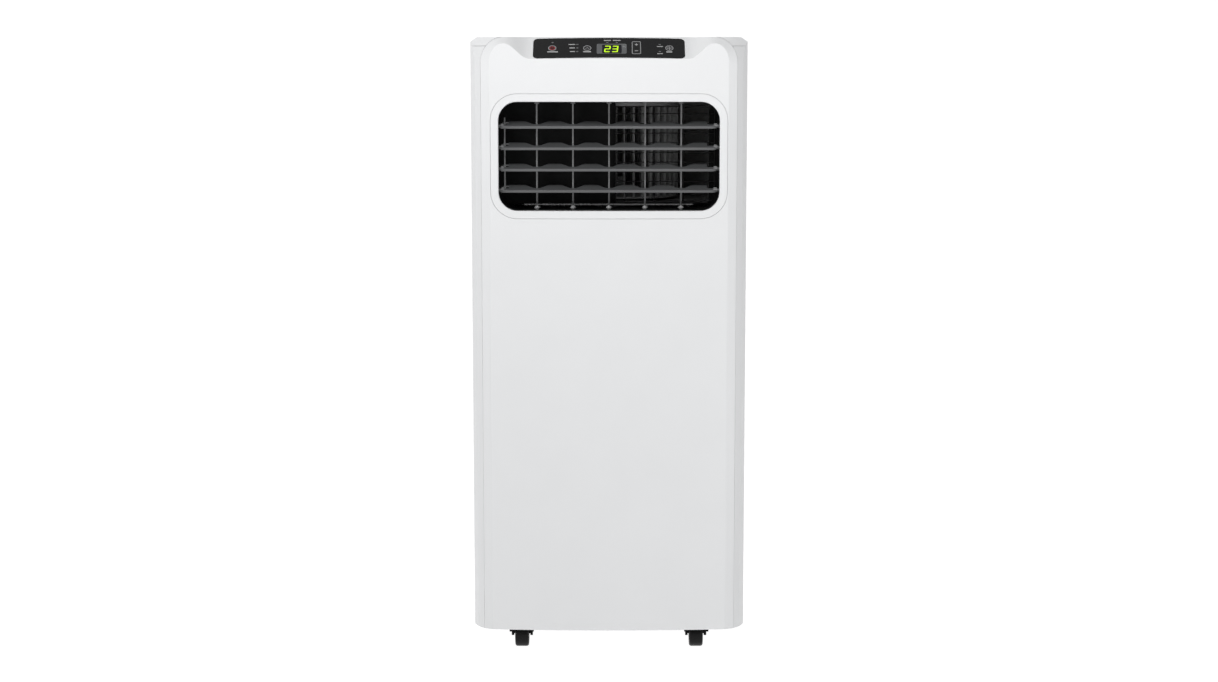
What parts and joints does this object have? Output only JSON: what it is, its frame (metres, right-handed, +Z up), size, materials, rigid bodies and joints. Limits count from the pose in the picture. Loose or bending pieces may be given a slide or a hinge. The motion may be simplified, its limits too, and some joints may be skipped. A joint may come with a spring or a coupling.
{
  "type": "portable air conditioner",
  "caption": "Upright white cabinet on casters with a louvred front air outlet, a sloping dark control panel, side hand grips, rear intake grilles and a round hot-air collar.",
  "frame": {"origin": "on the floor, under the middle of the cabinet's bounding box", "axes": "+Z up, +X to the right as seen from the front, and the front faces -Y"},
  "size_m": [0.31, 0.33, 0.7],
  "materials": {
    "case_white": "satin moulded plastic, lightly textured",
    "duct_black": "matte moulded plastic",
    "guard_black": "black painted wire",
    "louvre_grey": "satin moulded plastic",
    "overlay_black": "glossy printed overlay",
    "key_black": "satin plastic",
    "display_grey": "smoked plastic window",
    "display_digits": "lit yellow-green segments",
    "circuit_board": "green laminate",
    "pan_grey": "matte moulded plastic",
    "tray_grey": "foam-lined tray",
    "scroll_foam": "moulded plastic duct",
    "fin_aluminium": "bright fins",
    "copper": "drawn copper tube",
    "compressor_black": "black enamel",
    "motor_steel": "zinc-plated shell",
    "rubber_black": "black rubber",
    "zinc_steel": "zinc-plated sheet",
    "screw_steel": "bright plated",
    "wheel_plastic": "moulded plastic",
    "caster_black": "moulded nylon",
    "caster_tread": "moulded nylon, scuffed",
    "filter_mesh": "fine woven mesh in a plastic frame",
    "spout_grey": "moulded plastic"
  },
  "bodies": {
    "cabinet": {"front_panel": "case_white", "outlet_bezel": "case_white", "left_side_panel": "case_white", "right_side_panel": "case_white", "rear_panel": "case_white", "top_cover": "case_white", "exhaust_collar": "case_white", "lower_intake_grille": "case_white", "handle_cups": "case_white", "outlet_frame": "duct_black", "blower_scroll": "duct_black", "finger_guard": "guard_black", "control_overlay": "overlay_black", "display_window": "display_grey", "display_digits": "display_digits", "control_board": "circuit_board", "base_pan": "pan_grey", "drip_tray": "tray_grey", "condenser_scroll": "scroll_foam", "evaporator": "fin_aluminium", "condenser": "fin_aluminium", "copper_pipes": "copper", "compressor": "compressor_black", "blower_motor": "motor_steel", "condenser_motor": "motor_steel", "compressor_grommets": "rubber_black", "cord_inlet": "rubber_black", "caster_plates": "zinc_steel", "electrical_box": "zinc_steel", "case_screws": "screw_steel", "drain_spout": "spout_grey"},
    "louvre_1": {"louvre_1": "louvre_grey"},
    "louvre_2": {"louvre_2": "louvre_grey"},
    "louvre_3": {"louvre_3": "louvre_grey"},
    "louvre_4": {"louvre_4": "louvre_grey"},
    "blade_1": {"blade_1": "louvre_grey"},
    "blade_2": {"blade_2": "louvre_grey"},
    "blade_3": {"blade_3": "louvre_grey"},
    "blade_4": {"blade_4": "louvre_grey"},
    "blade_5": {"blade_5": "louvre_grey"},
    "louvre_link": {"louvre_link": "louvre_grey"},
    "blade_link": {"blade_link": "louvre_grey"},
    "blower_wheel": {"blower_wheel": "wheel_plastic"},
    "condenser_wheel": {"condenser_wheel": "wheel_plastic"},
    "filter_grille": {"filter_grille": "case_white"},
    "air_filter": {"air_filter": "filter_mesh"},
    "drain_plug": {"drain_plug": "rubber_black"},
    "power_key": {"power_key": "key_black"},
    "mode_key": {"mode_key": "key_black"},
    "temperature_key": {"temperature_key": "key_black"},
    "fan_key": {"fan_key": "key_black"},
    "caster_fork_front_left": {"caster_fork_front_left": "caster_black"},
    "caster_wheel_front_left": {"caster_wheel_front_left": "caster_tread"},
    "caster_fork_front_right": {"caster_fork_front_right": "caster_black"},
    "caster_wheel_front_right": {"caster_wheel_front_right": "caster_tread"},
    "caster_fork_rear_left": {"caster_fork_rear_left": "caster_black"},
    "caster_wheel_rear_left": {"caster_wheel_rear_left": "caster_tread"},
    "caster_fork_rear_right": {"caster_fork_rear_right": "caster_black"},
    "caster_wheel_rear_right": {"caster_wheel_rear_right": "caster_tread"}
  },
  "joints": [
    {"name": "louvre_1_tilt", "type": "hinge", "parent": "cabinet", "child": "louvre_1", "pos_m": [0, -0.1472, 0.6015], "axis": [1, 0, 0], "range_deg": [-38, 20]},
    {"name": "louvre_2_tilt", "type": "hinge", "parent": "cabinet", "child": "louvre_2", "pos_m": [0, -0.1472, 0.5777], "axis": [1, 0, 0], "range_deg": [-38, 20]},
    {"name": "louvre_3_tilt", "type": "hinge", "parent": "cabinet", "child": "louvre_3", "pos_m": [0, -0.1472, 0.5539], "axis": [1, 0, 0], "range_deg": [-38, 20]},
    {"name": "louvre_4_tilt", "type": "hinge", "parent": "cabinet", "child": "louvre_4", "pos_m": [0, -0.1472, 0.5301], "axis": [1, 0, 0], "range_deg": [-38, 20]},
    {"name": "louvre_link_pin", "type": "hinge", "parent": "louvre_1", "child": "louvre_link", "pos_m": [-0.117, -0.13721, 0.60474], "axis": [1, 0, 0], "range_deg": [-20, 38]},
    {"name": "blade_1_turn", "type": "hinge", "parent": "cabinet", "child": "blade_1", "pos_m": [-0.081, -0.134, 0.568], "axis": [0, 0, 1], "range_deg": [-35, 35]},
    {"name": "blade_2_turn", "type": "hinge", "parent": "cabinet", "child": "blade_2", "pos_m": [-0.0405, -0.134, 0.568], "axis": [0, 0, 1], "range_deg": [-35, 35]},
    {"name": "blade_3_turn", "type": "hinge", "parent": "cabinet", "child": "blade_3", "pos_m": [0, -0.134, 0.568], "axis": [0, 0, 1], "range_deg": [-35, 35]},
    {"name": "blade_4_turn", "type": "hinge", "parent": "cabinet", "child": "blade_4", "pos_m": [0.0405, -0.134, 0.568], "axis": [0, 0, 1], "range_deg": [-35, 35]},
    {"name": "blade_5_turn", "type": "hinge", "parent": "cabinet", "child": "blade_5", "pos_m": [0.081, -0.134, 0.568], "axis": [0, 0, 1], "range_deg": [-35, 35]},
    {"name": "blade_link_pin", "type": "hinge", "parent": "blade_1", "child": "blade_link", "pos_m": [-0.081, -0.125, 0.5129], "axis": [0, 0, 1], "range_deg": [-35, 35]},
    {"name": "blower_spin", "type": "hinge", "parent": "cabinet", "child": "blower_wheel", "pos_m": [0.008, -0.01, 0.57], "axis": [0, 0, 1], "continuous": true},
    {"name": "condenser_fan_spin", "type": "hinge", "parent": "cabinet", "child": "condenser_wheel", "pos_m": [0.03, 0.064, 0.19], "axis": [0, 1, 0], "continuous": true},
    {"name": "caster_swivel_front_left", "type": "hinge", "parent": "cabinet", "child": "caster_fork_front_left", "pos_m": [-0.1006, -0.119, 0.04], "axis": [0, 0, 1], "continuous": true},
    {"name": "caster_roll_front_left", "type": "hinge", "parent": "caster_fork_front_left", "child": "caster_wheel_front_left", "pos_m": [-0.1006, -0.127, 0.016], "axis": [1, 0, 0], "continuous": true},
    {"name": "caster_swivel_front_right", "type": "hinge", "parent": "cabinet", "child": "caster_fork_front_right", "pos_m": [0.1006, -0.119, 0.04], "axis": [0, 0, 1], "continuous": true},
    {"name": "caster_roll_front_right", "type": "hinge", "parent": "caster_fork_front_right", "child": "caster_wheel_front_right", "pos_m": [0.1006, -0.127, 0.016], "axis": [1, 0, 0], "continuous": true},
    {"name": "caster_swivel_rear_left", "type": "hinge", "parent": "cabinet", "child": "caster_fork_rear_left", "pos_m": [-0.1006, 0.114, 0.04], "axis": [0, 0, 1], "continuous": true},
    {"name": "caster_roll_rear_left", "type": "hinge", "parent": "caster_fork_rear_left", "child": "caster_wheel_rear_left", "pos_m": [-0.1006, 0.106, 0.016], "axis": [1, 0, 0], "continuous": true},
    {"name": "caster_swivel_rear_right", "type": "hinge", "parent": "cabinet", "child": "caster_fork_rear_right", "pos_m": [0.1006, 0.114, 0.04], "axis": [0, 0, 1], "continuous": true},
    {"name": "caster_roll_rear_right", "type": "hinge", "parent": "caster_fork_rear_right", "child": "caster_wheel_rear_right", "pos_m": [0.1006, 0.106, 0.016], "axis": [1, 0, 0], "continuous": true},
    {"name": "filter_grille_pull", "type": "slide", "parent": "cabinet", "child": "filter_grille", "axis": [0, 1, 0], "range_m": [0, 0.06]},
    {"name": "air_filter_unclip", "type": "slide", "parent": "filter_grille", "child": "air_filter", "axis": [0, -1, 0], "range_m": [0, 0.012]},
    {"name": "drain_plug_pull", "type": "slide", "parent": "cabinet", "child": "drain_plug", "axis": [0, 1, 0], "range_m": [0, 0.015]},
    {"name": "power_key_press", "type": "slide", "parent": "cabinet", "child": "power_key", "axis": [0, 0.6428, -0.766], "range_m": [0, 0.0005], "stiffness_N_per_m": 600, "springref_m": -0.0005},
    {"name": "mode_key_press", "type": "slide", "parent": "cabinet", "child": "mode_key", "axis": [0, 0.6428, -0.766], "range_m": [0, 0.0005], "stiffness_N_per_m": 600, "springref_m": -0.0005},
    {"name": "fan_key_press", "type": "slide", "parent": "cabinet", "child": "fan_key", "axis": [0, 0.6428, -0.766], "range_m": [0, 0.0005], "stiffness_N_per_m": 600, "springref_m": -0.0005},
    {"name": "temperature_key_rock", "type": "hinge", "parent": "cabinet", "child": "temperature_key", "pos_m": [0.0304, -0.14863, 0.68545], "axis": [1, 0, 0], "range_deg": [-2.5, 2.5], "stiffness_Nm_per_rad": 0.05}
  ],
  "couplings": [
    {"joint": "louvre_2_tilt", "follows": "louvre_1_tilt", "ratio": 1},
    {"joint": "louvre_3_tilt", "follows": "louvre_1_tilt", "ratio": 1},
    {"joint": "louvre_4_tilt", "follows": "louvre_1_tilt", "ratio": 1},
    {"joint": "louvre_link_pin", "follows": "louvre_1_tilt", "ratio": -1},
    {"joint": "blade_2_turn", "follows": "blade_1_turn", "ratio": 1},
    {"joint": "blade_3_turn", "follows": "blade_1_turn", "ratio": 1},
    {"joint": "blade_4_turn", "follows": "blade_1_turn", "ratio": 1},
    {"joint": "blade_5_turn", "follows": "blade_1_turn", "ratio": 1},
    {"joint": "blade_link_pin", "follows": "blade_1_turn", "ratio": -1}
  ]
}
